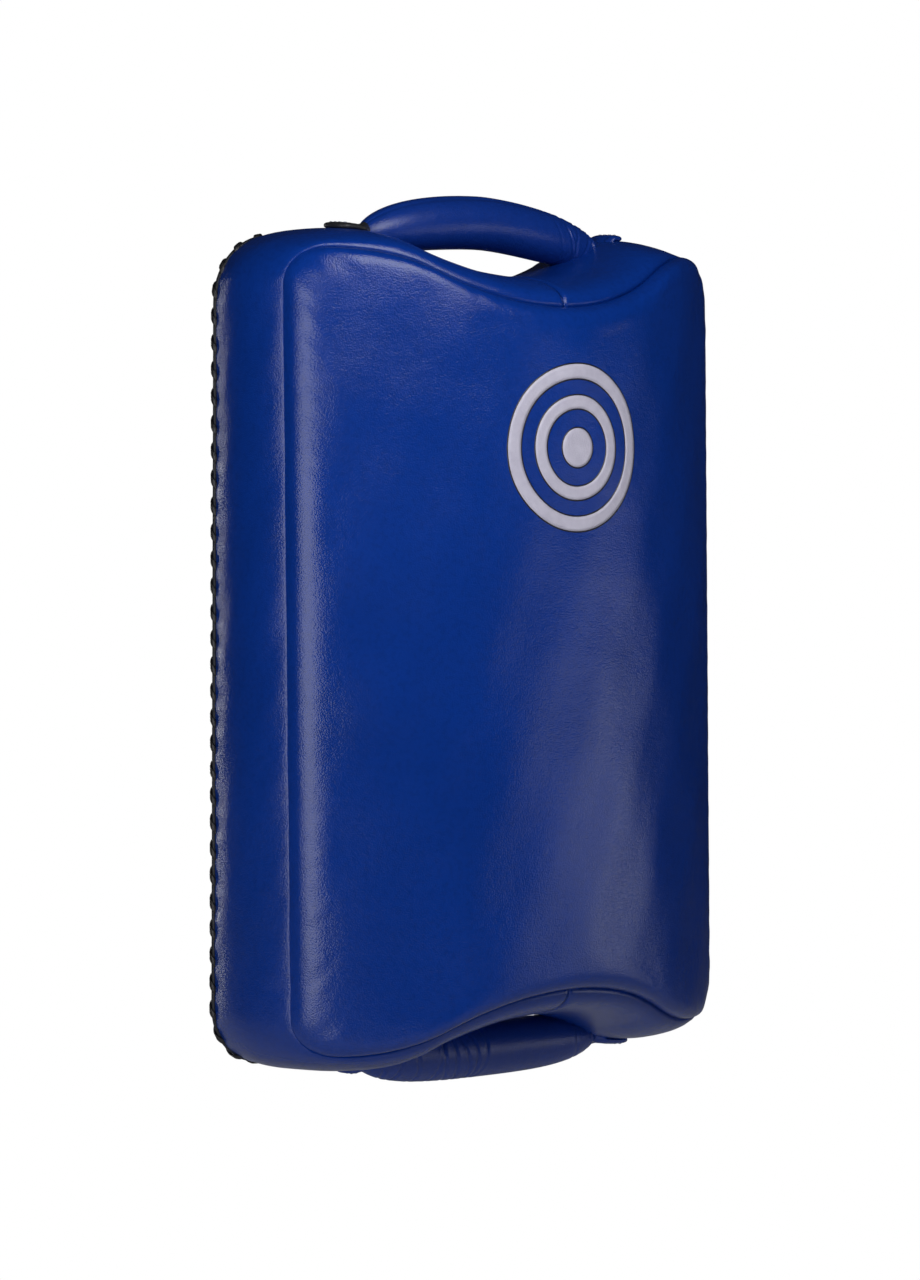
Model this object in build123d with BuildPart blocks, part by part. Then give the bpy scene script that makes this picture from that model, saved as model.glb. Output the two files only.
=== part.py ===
"""Kick shield: a curved leather-covered foam pad with a rolled handle at each end and two
forearm straps on its back.

Frame, in millimetres: +X to the right of someone facing the strike face, +Y out of the back,
+Z up. The origin is the centre of the flat back panel.
"""

import os
from math import atan, cos, radians, sin

from build123d import *

os.makedirs("parts", exist_ok=True)

# ---- driving dimensions of the padded body ----
HALF_WIDTH = 214.0  # centre line to the side wall
DEPTH = 180.0  # back panel to the crown of the strike face
SIDE_DEPTH = 100.0  # back panel to the edge of the strike face, at the sides
SHOULDER_Z = 322.0  # top of the two shoulders above the middle of the body
SHOULDER_X = 180.0  # where the shoulders are highest
SCOOP_Z = 280.0  # bottom of the scoop between the shoulders
SCOOP_RADIUS = 280.0
CORNER_RADIUS = 28.0  # side wall to shoulder
FRONT_ROLL = 14.0  # rolled edge around the strike face
SKIN = 2.5  # leather with its lining
CUT_MARGIN = 1.0  # how far a cutting block reaches past what it cuts
CUT_BACK = 50.0  # how far cutting blocks reach behind the back panel

# ---- layers inside ----
STRIKE_FOAM = 42.0  # dense closed-cell foam behind the strike face
BACK_FOAM = 20.0  # firm sheet against the back panel
STRIKE_FOAM_SIDE = 58.0  # back panel to the back of the strike foam, at the sides
SEAM_CROWN = 166.0  # front seam's distance from the back, on the centre line
SEAM_SIDE = 88.0  # the same at the sides
LACE_BAND = 5.0  # lacing seen around the back edge
LACE_PROUD = 2.6
LACE_INSET = 1.2

# ---- rolled handles ----
HANDLE_Y = -60.0
HANDLE_Z = 332.0  # axis of the roll
ROLL_RADIUS = 21.0
ROLL_HALF = 92.0  # straight part of the roll
ROLL_END = 118.0  # where the taper meets the neck
FILLING_END = 115.0  # end of the foam roll and of its webbing core
NECK_ROOT = 110.0  # where the neck starts inside the roll
NECK_ROOT_THICK = 14.0
NECK_RADIUS = 12.0
NECK_HALF_WIDTH = 8.0
NECK_THICK = 6.0
HINGE_Z = 322.0  # the handle rocks about this line
NECK_TIP = 129.0
TAB_START = 130.0
TAB_END = 156.0
TAB_HALF_WIDTH = 15.0
TAB_TIP_RISE = 3.0  # height of the tab's thin end above the shoulder
COVER_THICK = 2.5
HANDLE_WEB_WIDTH = 12.0
HANDLE_WEB_THICK = 3.0
ANCHOR_THICK = 3.0
ANCHOR_SIZE = (52.0, 32.0)
ANCHOR_REACH = 60.0  # height of the block that each anchor patch is cut from

# ---- forearm straps on the back ----
STRAP_Z = 105.0  # height of each strap from the middle
STRAP_WIDTH = 50.0
PAD_WIDTH = 58.0
TAPE_WIDTH = 46.0
ARCH_RADIUS = 141.2  # middle of the strap's thickness
ARCH_CENTRE_Y = -73.3
WEB = 3.0
PAD_THICK = 6.0
ARCH_END = 49.0  # degrees from the crown where the free arch ends
FOOT_START = 60.0  # the strap's foot runs between these degrees, then flat on its patch
FOOT_END = 51.2
KEEPER_END = 46.0  # end of the keeper's folded-over layer
KEEPER_SEWN = 40.5  # from here its two layers are sewn together
PAD_FROM = -38.0
PAD_TO = 18.0
PATCH_SIZE = (64.0, 72.0)
PATCH_THICK = 2.5
PATCH_CORNER = 8.0
PATCH_X = 136.0
FOOT_REACH = 160.0
FOOT_ROOT = 113.0
WIRE = 4.0
RING_BAR_RADIUS = 145.0  # the ring's two bars lie on this radius of the arch
RING_BARS = (28.0, 36.5)  # degrees from the crown
RING_SPAN = 58.0
RING_CORNER = 3.2
FOLD_GAP = 0.3
TAIL_FROM = -6.0
TAIL_TO = 25.0
LOOP_FROM = -26.0
LOOP_TO = 23.0
HOOK_FROM = -2.0
HOOK_TO = 22.0
LOOP_THICK = 2.2
HOOK_THICK = 2.0

# ---- target mark printed on the strike face ----
MARK_Z = 155.0
MARK_RINGS = ((64.0, 53.0), (40.0, 30.0), (15.0, 0.0))
MARK_THICK = 0.4
MARK_SPAN = 192.0  # height of the cylinders that shape the mark


def save(part, name):
    """Labels a finished part and writes it as its own STEP file."""
    part.label = name
    export_step(part, f"parts/{name}.step")


def front_radius(crown, side, half_width):
    """Radius of the arc that has this crown and passes through the sides."""
    rise = crown - side
    return (half_width**2 + rise**2) / (2 * rise)


def outline_curve(inset):
    """Draws the body's front outline, inset all round: a quarter, mirrored twice."""
    rise = SHOULDER_Z - SCOOP_Z
    turn = 2 * atan(rise / SHOULDER_X)
    scoop_r = SCOOP_RADIUS + inset
    shoulder_r = SHOULDER_X / sin(turn) - SCOOP_RADIUS - inset
    low, top, side = SCOOP_Z - inset, SHOULDER_Z - inset, HALF_WIDTH - inset
    corner = CORNER_RADIUS - inset

    def on_scoop(angle):
        return (scoop_r * sin(angle), low + scoop_r * (1 - cos(angle)))

    def on_shoulder(angle):
        return (SHOULDER_X - shoulder_r * sin(angle), top - shoulder_r * (1 - cos(angle)))

    ThreePointArc((0, low), on_scoop(turn / 2), on_scoop(turn))
    ThreePointArc(on_scoop(turn), on_shoulder(turn / 2), (SHOULDER_X, top))
    Line((SHOULDER_X, top), (side - corner, top))
    RadiusArc((side - corner, top), (side, top - corner), corner)
    Line((side, top - corner), (side, 0))
    mirror(about=Plane.YZ)
    mirror(about=Plane.XZ)


def body_outline(inset):
    """Front outline of the body as a sketch on the XZ plane."""
    with BuildSketch(Plane.XZ) as outline:
        with BuildLine():
            outline_curve(inset)
        make_face()
    return outline.sketch


def plan_block(crown, side, half_width, back, half_height):
    """Solid whose front is an arc in plan, from the crown to the sides, back at y = back."""
    with BuildPart() as block:
        with BuildSketch(Plane.XY.offset(-half_height)):
            with BuildLine():
                ThreePointArc((-half_width, -side), (0, -crown), (half_width, -side))
                Polyline((half_width, -side), (half_width, back), (-half_width, back),
                         (-half_width, -side))
            make_face()
        extrude(amount=2 * half_height)
    return block.part


def body_solid(inset, back):
    """The padded body, inset from its outer skin, with its flat back at y = back."""
    outline = body_outline(inset)
    plan = plan_block(DEPTH - inset, SIDE_DEPTH - inset, HALF_WIDTH - inset, back,
                      2 * SHOULDER_Z)
    with BuildPart() as body:
        extrude(outline, amount=DEPTH + CUT_MARGIN)
        add(plan, mode=Mode.INTERSECT)
        rim = body.faces().filter_by(GeomType.CYLINDER).sort_by(Axis.Y)[0].edges()
        fillet(rim, FRONT_ROLL - inset)
    return body.part


OUTLINE = body_outline(0)
OUTER = body_solid(0, 0)
INNER = body_solid(SKIN, -SKIN)
ANCHOR_BED = body_solid(SKIN + ANCHOR_THICK, -SKIN)
SEAM_BLOCK = plan_block(SEAM_CROWN, SEAM_SIDE, HALF_WIDTH + CUT_MARGIN, CUT_BACK,
                        2 * SHOULDER_Z)
STRIKE_BACK = plan_block(DEPTH - SKIN - STRIKE_FOAM, STRIKE_FOAM_SIDE,
                         HALF_WIDTH + CUT_MARGIN, CUT_BACK, 2 * SHOULDER_Z)


# ---- leather cover ----
with BuildPart() as front_panel:
    add(OUTER)
    add(INNER, mode=Mode.SUBTRACT)
    add(SEAM_BLOCK, mode=Mode.SUBTRACT)
save(front_panel.part, "front_panel")

with BuildPart() as gusset:
    add(OUTER)
    add(INNER, mode=Mode.SUBTRACT)
    add(SEAM_BLOCK, mode=Mode.INTERSECT)
    split(bisect_by=Plane.XZ.offset(SKIN), keep=Keep.TOP)

with BuildPart() as right_gusset:
    add(gusset.part)
    split(bisect_by=Plane.YZ, keep=Keep.TOP)
save(right_gusset.part, "right_gusset")

with BuildPart() as left_gusset:
    mirror(right_gusset.part, about=Plane.YZ)
save(left_gusset.part, "left_gusset")

with BuildPart() as back_panel:
    extrude(OUTLINE, amount=SKIN)
save(back_panel.part, "back_panel")

with BuildPart() as edge_lace:
    with BuildSketch(Plane.XZ.offset(LACE_INSET)):
        for growth, mode in ((LACE_PROUD, Mode.ADD), (0, Mode.SUBTRACT)):
            with BuildLine():
                outline_curve(-growth)
            make_face(mode=mode)
    extrude(amount=LACE_BAND)
save(edge_lace.part, "edge_lace")

# ---- webbing patches inside the gusset, where the handles are sewn through ----
with BuildPart() as handle_anchor_patches:
    for x_side in (-1, 1):
        for z_side in (-1, 1):
            with Locations((x_side * (TAB_START + TAB_END) / 2, HANDLE_Y,
                            z_side * (SHOULDER_Z - SKIN))):
                Box(ANCHOR_SIZE[0], ANCHOR_SIZE[1], ANCHOR_REACH)
    add(INNER, mode=Mode.INTERSECT)
    add(ANCHOR_BED, mode=Mode.SUBTRACT)
save(handle_anchor_patches.part, "handle_anchor_patches")

# ---- foam ----
with BuildPart() as strike_foam:
    add(INNER)
    add(STRIKE_BACK, mode=Mode.SUBTRACT)
save(strike_foam.part, "strike_foam")

with BuildPart() as core_foam:
    add(INNER)
    add(STRIKE_BACK, mode=Mode.INTERSECT)
    split(bisect_by=Plane.XZ.offset(SKIN + BACK_FOAM), keep=Keep.TOP)
    add(handle_anchor_patches.part, mode=Mode.SUBTRACT)
save(core_foam.part, "core_foam")

with BuildPart() as back_foam:
    add(INNER)
    split(bisect_by=Plane.XZ.offset(SKIN + BACK_FOAM), keep=Keep.BOTTOM)
save(back_foam.part, "back_foam")

# ---- target mark ----
FACE_RADIUS = front_radius(DEPTH, SIDE_DEPTH, HALF_WIDTH)
with BuildPart() as target_mark:
    with BuildSketch(Plane.XZ.offset(DEPTH / 2)) as rings:
        with Locations((0, MARK_Z)):
            for outer, inner in MARK_RINGS:
                Circle(outer)
                if inner:
                    Circle(inner, mode=Mode.SUBTRACT)
    extrude(amount=DEPTH)
    with Locations((0, FACE_RADIUS - DEPTH, MARK_Z)):
        Cylinder(FACE_RADIUS + MARK_THICK, MARK_SPAN, mode=Mode.INTERSECT)
        Cylinder(FACE_RADIUS, MARK_SPAN, mode=Mode.SUBTRACT)
save(target_mark.part, "target_mark")


# ---- rolled handles ----
def half_profile(half, end, radius, neck):
    """Half section of a roll that tapers at both ends, about the roll's axis."""
    with BuildLine() as section:
        Polyline((-end, 0), (-end, neck), (-half, radius), (half, radius), (end, neck),
                 (end, 0), (-end, 0))
    return section.line


def handle_parts(name, z_side):
    """Cover, foam roll and webbing core of one handle."""
    axis_z = z_side * HANDLE_Z
    roll_plane = Plane((0, HANDLE_Y, axis_z), x_dir=(1, 0, 0), z_dir=(0, -1, 0))
    foam_radius = ROLL_RADIUS - COVER_THICK
    foam_neck = NECK_RADIUS - COVER_THICK

    with BuildPart() as web:
        with Locations((0, HANDLE_Y, axis_z)):
            Box(2 * FILLING_END, HANDLE_WEB_WIDTH, HANDLE_WEB_THICK)
    save(web.part, f"{name}_handle_web")

    with BuildPart() as foam:
        with BuildSketch(roll_plane):
            with BuildLine():
                add(half_profile(ROLL_HALF, FILLING_END, foam_radius, foam_neck))
            make_face()
        revolve(axis=Axis((0, HANDLE_Y, axis_z), (1, 0, 0)))
        foam_solid = foam.part
        add(web.part, mode=Mode.SUBTRACT)
    save(foam.part, f"{name}_handle_foam")

    with BuildPart() as cover:
        with BuildSketch(roll_plane):
            with BuildLine():
                add(half_profile(ROLL_HALF, ROLL_END, ROLL_RADIUS, NECK_RADIUS))
            make_face()
        revolve(axis=Axis((0, HANDLE_Y, axis_z), (1, 0, 0)))
        for x_side in (-1, 1):
            root, tip = x_side * NECK_ROOT, x_side * NECK_TIP
            root_low, root_high = HANDLE_Z - NECK_ROOT_THICK / 2, HANDLE_Z + NECK_ROOT_THICK / 2
            low, high = HINGE_Z - NECK_THICK / 2, HINGE_Z + NECK_THICK / 2
            with BuildSketch(Plane.XZ.offset(-HANDLE_Y)):
                with BuildLine():
                    Polyline(
                        (root, z_side * root_low), (tip, z_side * low),
                        (tip, z_side * high), (root, z_side * root_high), close=True,
                    )
                make_face()
            extrude(amount=NECK_HALF_WIDTH, both=True)
        add(foam_solid, mode=Mode.SUBTRACT)
        add(web.part, mode=Mode.SUBTRACT)
    save(cover.part, f"{name}_handle_cover")


def tab_part(name, x_side, z_side):
    """Leather tab sewn on a shoulder: thick where the handle's neck leaves it."""
    with BuildPart() as tab:
        with BuildSketch(Plane.XZ.offset(-HANDLE_Y)):
            with BuildLine():
                Polyline(
                    (x_side * TAB_START, z_side * SCOOP_Z),
                    (x_side * TAB_START, z_side * (HINGE_Z + NECK_THICK / 2)),
                    (x_side * TAB_END, z_side * (SHOULDER_Z + TAB_TIP_RISE)),
                    (x_side * TAB_END, z_side * SCOOP_Z),
                    close=True,
                )
            make_face()
        extrude(amount=TAB_HALF_WIDTH, both=True)
        add(OUTER, mode=Mode.SUBTRACT)
    save(tab.part, name)


for end_name, z_side in (("top", 1), ("bottom", -1)):
    handle_parts(end_name, z_side)
    tab_part(f"{end_name}_left_tab", -1, z_side)
    tab_part(f"{end_name}_right_tab", 1, z_side)


# ---- forearm straps ----
def arch_point(radius, angle):
    """Point in plan at an angle from the arch's crown, positive to the right."""
    turn = radians(angle)
    return Vector(radius * sin(turn), ARCH_CENTRE_Y + radius * cos(turn))


def arch_strip(inner, outer, start, end, z, width):
    """Adds a curved strip that follows the arch between two radii and two angles."""
    middle = (start + end) / 2
    with BuildSketch(Plane.XY.offset(z - width / 2)) as section:
        with BuildLine():
            ThreePointArc(*(arch_point(outer, a) for a in (start, middle, end)))
            Line(arch_point(outer, end), arch_point(inner, end))
            ThreePointArc(*(arch_point(inner, a) for a in (end, middle, start)))
            Line(arch_point(inner, start), arch_point(outer, start))
        make_face()
    extrude(section.sketch, amount=width)


def fold_around(bar_angle, opens, z, width):
    """Adds a half turn of strap around a ring bar: opens is -1 when the strap comes from
    the crown's side, 1 when it comes from the foot's side."""
    inner = WIRE / 2 + FOLD_GAP
    centre = arch_point(RING_BAR_RADIUS, bar_angle)
    turn = radians(bar_angle)
    along = Vector(cos(turn), -sin(turn)) * -opens
    out = Vector(sin(turn), cos(turn))
    with BuildSketch(Plane.XY.offset(z - width / 2)) as section:
        with BuildLine():
            ThreePointArc(*(centre + v * (inner + WEB) for v in (out, along, out * -1)))
            Line(centre - out * (inner + WEB), centre - out * inner)
            ThreePointArc(*(centre + v * inner for v in (out * -1, along, out)))
            Line(centre + out * inner, centre + out * (inner + WEB))
        make_face()
    extrude(section.sketch, amount=width)


def foot_part(name, x_side, z):
    """End of a strap sewn flat to its patch, turning up into the arch."""
    inner = ARCH_RADIUS - WEB / 2
    with BuildPart() as foot:
        arch_strip(inner, inner + WEB, *sorted((x_side * FOOT_START, x_side * FOOT_END)), z,
                   STRAP_WIDTH)
        with Locations((x_side * (FOOT_REACH + FOOT_ROOT) / 2, PATCH_THICK + WEB / 2, z)):
            Box(FOOT_REACH - FOOT_ROOT, WEB, STRAP_WIDTH)
        split(bisect_by=Plane.XZ.offset(-PATCH_THICK), keep=Keep.BOTTOM)
    save(foot.part, name)


def strap_parts(name, z):
    """Patches, feet, padded arch, ring and folded-back tail of one forearm strap."""
    inner = ARCH_RADIUS - WEB / 2
    outer = ARCH_RADIUS + WEB / 2
    fold_outer = RING_BAR_RADIUS + WIRE / 2 + FOLD_GAP
    fold_inner = RING_BAR_RADIUS - WIRE / 2 - FOLD_GAP - WEB
    crown_bar, foot_bar = RING_BARS

    for side_name, x_side in (("left", -1), ("right", 1)):
        with BuildPart() as patch:
            with Locations((x_side * PATCH_X, PATCH_THICK / 2, z)):
                Box(PATCH_SIZE[0], PATCH_THICK, PATCH_SIZE[1])
            fillet(patch.edges().filter_by(Axis.Y), PATCH_CORNER)
        save(patch.part, f"{name}_{side_name}_patch")
        foot_part(f"{name}_{side_name}_foot", x_side, z)

    with BuildPart() as web:
        arch_strip(fold_inner, fold_inner + WEB, -ARCH_END, crown_bar, z, STRAP_WIDTH)
        fold_around(crown_bar, -1, z, STRAP_WIDTH)
    save(web.part, f"{name}_strap_web")

    with BuildPart() as keeper:
        arch_strip(fold_inner, fold_inner + WEB, foot_bar, ARCH_END, z, STRAP_WIDTH)
        fold_around(foot_bar, 1, z, STRAP_WIDTH)
        arch_strip(fold_outer, fold_outer + WEB, foot_bar, KEEPER_END, z, STRAP_WIDTH)
        arch_strip(fold_inner + WEB, fold_outer, KEEPER_SEWN, KEEPER_END, z, STRAP_WIDTH)
    save(keeper.part, f"{name}_strap_keeper")

    with BuildPart() as pad:
        arch_strip(fold_inner - PAD_THICK, fold_inner, PAD_FROM, PAD_TO, z, PAD_WIDTH)
    save(pad.part, f"{name}_strap_pad")

    middle = (arch_point(RING_BAR_RADIUS, crown_bar) + arch_point(RING_BAR_RADIUS, foot_bar)) / 2
    tilt = radians(sum(RING_BARS) / 2)
    ring_plane = Plane((middle.X, middle.Y, z), x_dir=(cos(tilt), -sin(tilt), 0),
                       z_dir=(sin(tilt), cos(tilt), 0))
    bar_gap = RING_BAR_RADIUS * 2 * sin(radians(foot_bar - crown_bar) / 2)
    with BuildSketch(ring_plane) as ring_outline:
        RectangleRounded(bar_gap, RING_SPAN, RING_CORNER)
    ring_path = ring_outline.sketch.wires()[0]
    with BuildPart() as ring:
        with BuildSketch(Plane(ring_path @ 0, z_dir=ring_path % 0)):
            Circle(WIRE / 2)
        sweep(path=ring_path)
    save(ring.part, f"{name}_strap_ring")

    with BuildPart() as loop_patch:
        arch_strip(outer, outer + LOOP_THICK, LOOP_FROM, LOOP_TO, z, TAPE_WIDTH)
    save(loop_patch.part, f"{name}_loop_patch")

    with BuildPart() as hook_patch:
        arch_strip(fold_outer - HOOK_THICK, fold_outer, HOOK_FROM, HOOK_TO, z, TAPE_WIDTH)
    save(hook_patch.part, f"{name}_hook_patch")

    with BuildPart() as tail:
        arch_strip(fold_outer, fold_outer + WEB, TAIL_FROM, TAIL_TO, z, STRAP_WIDTH)
    save(tail.part, f"{name}_strap_tail")


for strap_name, strap_z in (("upper", STRAP_Z), ("lower", -STRAP_Z)):
    strap_parts(strap_name, strap_z)
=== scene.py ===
"""Looks of the kick shield: padded leather body, laced back edge, rolled handles, forearm straps.

Everything is in metres in the frame of the CAD model: +X to the right of someone facing the
strike face, +Y out of the back, +Z up, origin at the centre of the back panel.
"""

from math import atan2, cos, pi, radians, sin

import bmesh
import bpy
import numpy as np
from mathutils import Matrix, Vector


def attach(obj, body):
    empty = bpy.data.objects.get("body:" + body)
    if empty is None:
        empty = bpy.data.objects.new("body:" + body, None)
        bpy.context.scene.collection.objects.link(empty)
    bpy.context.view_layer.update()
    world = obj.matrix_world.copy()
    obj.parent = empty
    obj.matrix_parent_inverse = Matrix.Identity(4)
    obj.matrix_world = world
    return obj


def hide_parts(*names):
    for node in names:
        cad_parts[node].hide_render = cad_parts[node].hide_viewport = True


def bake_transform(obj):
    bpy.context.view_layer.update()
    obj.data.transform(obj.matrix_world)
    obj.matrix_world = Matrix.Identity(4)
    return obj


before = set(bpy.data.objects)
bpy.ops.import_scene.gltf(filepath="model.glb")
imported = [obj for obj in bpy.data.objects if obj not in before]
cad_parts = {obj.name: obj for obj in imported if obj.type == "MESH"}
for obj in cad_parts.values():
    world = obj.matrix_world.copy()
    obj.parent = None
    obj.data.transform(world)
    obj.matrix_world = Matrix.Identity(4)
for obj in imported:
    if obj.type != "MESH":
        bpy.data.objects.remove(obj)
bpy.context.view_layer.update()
MM = 0.001

# ---- the body's outlines, in millimetres until they become vertices ----
SEAM = dict(half_width=210, shoulder_x=182, shoulder_z=306, scoop_z=262.5, scoop_r=242, corner=28)
FLAT = dict(half_width=186, shoulder_x=150, shoulder_z=281, scoop_z=238.5, scoop_r=200, corner=36)
BACK_TOP = dict(half_width=215, shoulder_x=166, shoulder_z=314, scoop_z=267.4, scoop_r=221,
                corner=49)
BACK_FOOT = dict(half_width=215, shoulder_x=172, shoulder_z=321, scoop_z=277.6, scoop_r=221,
                 corner=43)
SEAM_CROWN = 166.0  # seam to back panel on the centre line
SEAM_SAG = 79.5  # how much closer the seam is to the back at the sides
ROLL_HEIGHT = 14.7  # strike face in front of its seam
WEDGE = 0.023  # the pad is this much deeper per millimetre further down
BACK_EDGE = 2.5  # laced edge, in front of the back panel's face
QUARTER = 120  # points on a quarter of an outline
CORNER_AT = 48  # of those, where the quarter's corner is
ROLL_RINGS = 20
WALL_ROWS = 40
SKIN = 2.0  # leather thickness

# ---- handles: end is 1 at the top and -1 at the bottom, side is 1 on the right ----
HANDLE_Y = -60.0
# each roll's axis height at its middle, how much lower its ends are, how sharply it bends,
# how far it leans down to the right, and its radius
ROLLS = {1: dict(crest=328.0, dip=15.9, bend=1.65, lean=6.6, radius=20.9),
         -1: dict(crest=322.4, dip=2.5, bend=2.0, lean=-0.4, radius=21.7)}
ROLL_REACH = 118.0
NECK_RADIUS = 7.5
STUFFING_INSET = 3.5
TAB_ROOT = 112.0
DARK_TAB_ROOT = 117.5  # painted shade: the top left tongue is made black where it lies in shade, and leaves the roll's end in view
# how far out each tongue's tip lies, by end and side
TAB_TIPS = {(1, -1): 150.0, (1, 1): 139.0, (-1, -1): 135.0, (-1, 1): 152.0}
TAB_HALF = 15.0
TAB_THICK = 5.4
TAB_FLATTENS = (116.0, 127.0)  # where a tongue goes from round to flat
TAB_TIP_LENGTH = 9.0  # rounded end
TAB_SUNK = 0.6  # into the leather under it
CORE_WEB_REACH = 104.0
CORE_WEB_HALF = (5.5, 1.3)
ANCHOR_SPAN = (122.0, 170.0)  # across
ANCHOR_HALF = 16.0
ANCHOR_UNDER = (3.4, 5.4)  # below the leather's surface

# ---- forearm straps ----
STRAPS = (("upper", 105.0), ("lower", -105.0))
ARCH_Y = -73.3  # centre of the straps' arch, in plan
ARCH_R = 141.2  # middle of the strap's thickness
BAR_R = 145.0  # the ring's bars
TAIL_R = 148.8
CROWN_BAR, FOOT_BAR = 28.0, 36.5  # degrees from the crown of the arch
WEB = 3.0
STRAP_HALF = 25.0
PATCH = (136.0, 32.0, 36.0, 2.5)  # distance out, half width, half height, thickness
FOOT_TIP = 160.0
TURN_R = 3.8  # the strap's middle, round a bar


# ---------------------------------------------------------------- meshes
def mesh_object(name, points_mm, faces, material):
    """A smooth-shaded mesh object from points in millimetres, its double points welded and
    its normals turned outwards."""
    mesh = bpy.data.meshes.new(name)
    mesh.from_pydata([tuple(p) for p in np.asarray(points_mm, float) * MM], [], faces)
    work = bmesh.new()
    work.from_mesh(mesh)
    bmesh.ops.remove_doubles(work, verts=work.verts, dist=2e-6)
    bmesh.ops.dissolve_degenerate(work, edges=work.edges, dist=1e-7)
    bmesh.ops.recalc_face_normals(work, faces=work.faces)
    work.to_mesh(mesh)
    work.free()
    mesh.validate()
    mesh.polygons.foreach_set("use_smooth", [True] * len(mesh.polygons))
    mesh.update()
    obj = bpy.data.objects.new(name, mesh)
    bpy.context.scene.collection.objects.link(obj)
    obj.data.materials.append(material)
    return obj


def grid_faces(rows, columns, start=0, closed=False):
    """Quads between rows of points; closed joins the last column to the first."""
    faces = []
    spans = columns if closed else columns - 1
    for r in range(rows - 1):
        for c in range(spans):
            a = start + r * columns + c
            b = start + r * columns + (c + 1) % columns
            faces.append((a, b, b + columns, a + columns))
    return faces


def capped_faces(rows, columns):
    """Faces of a tube of rings with a cap on each end."""
    last = (rows - 1) * columns
    caps = [tuple(range(columns)), tuple(range(last, last + columns))]
    return grid_faces(rows, columns, closed=True) + caps


def looped_faces(rows, columns):
    """Faces of a tube whose last ring joins its first."""
    last = (rows - 1) * columns
    join = [(last + c, last + (c + 1) % columns, (c + 1) % columns, c) for c in range(columns)]
    return grid_faces(rows, columns, closed=True) + join


def thicken(obj, thickness):
    """Gives a leather shell its thickness, inwards."""
    solid = obj.modifiers.new("leather", "SOLIDIFY")
    solid.thickness = thickness * MM
    solid.offset = -1
    solid.use_even_offset = False
    return obj


def smooth_step(value):
    """0 below 0, 1 above 1, and a smooth rise between."""
    value = np.clip(value, 0, 1)
    return value * value * (3 - 2 * value)


def ripple(s, waves):
    """Sum of sines; waves holds (cycles per unit of s, phase, height)."""
    return sum(h * np.sin(2 * pi * (f * s + p)) for f, p, h in waves)


# ---------------------------------------------------------------- outlines
def resample(points, count):
    """A number of points evenly spaced along a line of points."""
    steps = np.linalg.norm(np.diff(points, axis=0), axis=1)
    along = np.concatenate([[0], np.cumsum(steps)])
    at = np.linspace(0, along[-1], count)
    return np.stack([np.interp(at, along, points[:, i]) for i in range(points.shape[1])], 1)


def outline(half_width, shoulder_x, shoulder_z, scoop_z, scoop_r, corner):
    """Closed outline (x, z), clockwise from the top centre as seen from the front: an arc for
    the scoop, an arc for the shoulder, a rounded corner and a straight side, mirrored twice."""
    turn = 2 * atan2(shoulder_z - scoop_z, shoulder_x)
    shoulder_r = shoulder_x / sin(turn) - scoop_r
    scoop = [(scoop_r * sin(a), scoop_z + scoop_r * (1 - cos(a)))
             for a in np.linspace(0, turn, 60)]
    shoulder = [(shoulder_x - shoulder_r * sin(a), shoulder_z - shoulder_r * (1 - cos(a)))
                for a in np.linspace(turn, 0, 40)]
    rounding = [(half_width - corner * (1 - sin(a)), shoulder_z - corner * (1 - cos(a)))
                for a in np.linspace(0, pi / 2, 40)]
    quarter = np.array(scoop + shoulder[1:] + rounding + [(half_width, 0.0)])
    quarter = resample(quarter, QUARTER + 1)
    lower = quarter[::-1] * (1, -1)
    right = np.concatenate([quarter, lower[1:]])
    left = right[::-1] * (-1, 1)
    return np.concatenate([right, left[1:-1]])


def outward(loop):
    """Unit normals of a closed clockwise outline, pointing out."""
    ahead = np.roll(loop, -1, 0) - np.roll(loop, 1, 0)
    normal = np.stack([-ahead[:, 1], ahead[:, 0]], 1)
    normal /= np.linalg.norm(normal, axis=1)[:, None]
    return normal * np.sign((normal * loop).sum(1).mean())


def seam_y(x, z):
    """y of the front seam, or of the curved surface through it."""
    return -SEAM_CROWN + SEAM_SAG * (x / SEAM["half_width"]) ** 2 + WEDGE * z


SEAM_LOOP = outline(**SEAM)
BACK_LOOP = outline(**BACK_TOP)
BACK_LOOP = np.where(BACK_LOOP[:, 1:] > 0, BACK_LOOP, outline(**BACK_FOOT))
FLAT_LOOP = outline(**FLAT)
SEAM_OUT = outward(SEAM_LOOP)
CORNER_SETTLED = 6.0  # how far the top right corner has settled inwards
SETTLED = CORNER_SETTLED * np.exp(-((SEAM_LOOP[:, 0] - 198) / 24) ** 2
                                  - ((SEAM_LOOP[:, 1] - 300) / 26) ** 2)
SEAM_LOOP = SEAM_LOOP - SEAM_OUT * SETTLED[:, None]
BACK_OUT = outward(BACK_LOOP)
COUNT = len(SEAM_LOOP)
ROUND_S = np.arange(COUNT) / COUNT  # share of the way round
CORNERNESS = np.exp(-((np.abs(SEAM_LOOP[:, 0]) - 200) / 26) ** 2
                    - ((np.abs(SEAM_LOOP[:, 1]) - 292) / 40) ** 2)


def lifted(loop, y):
    """Points of a loop in space, at the given y."""
    return np.column_stack([loop[:, 0], np.broadcast_to(y, len(loop)), loop[:, 1]])


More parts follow.
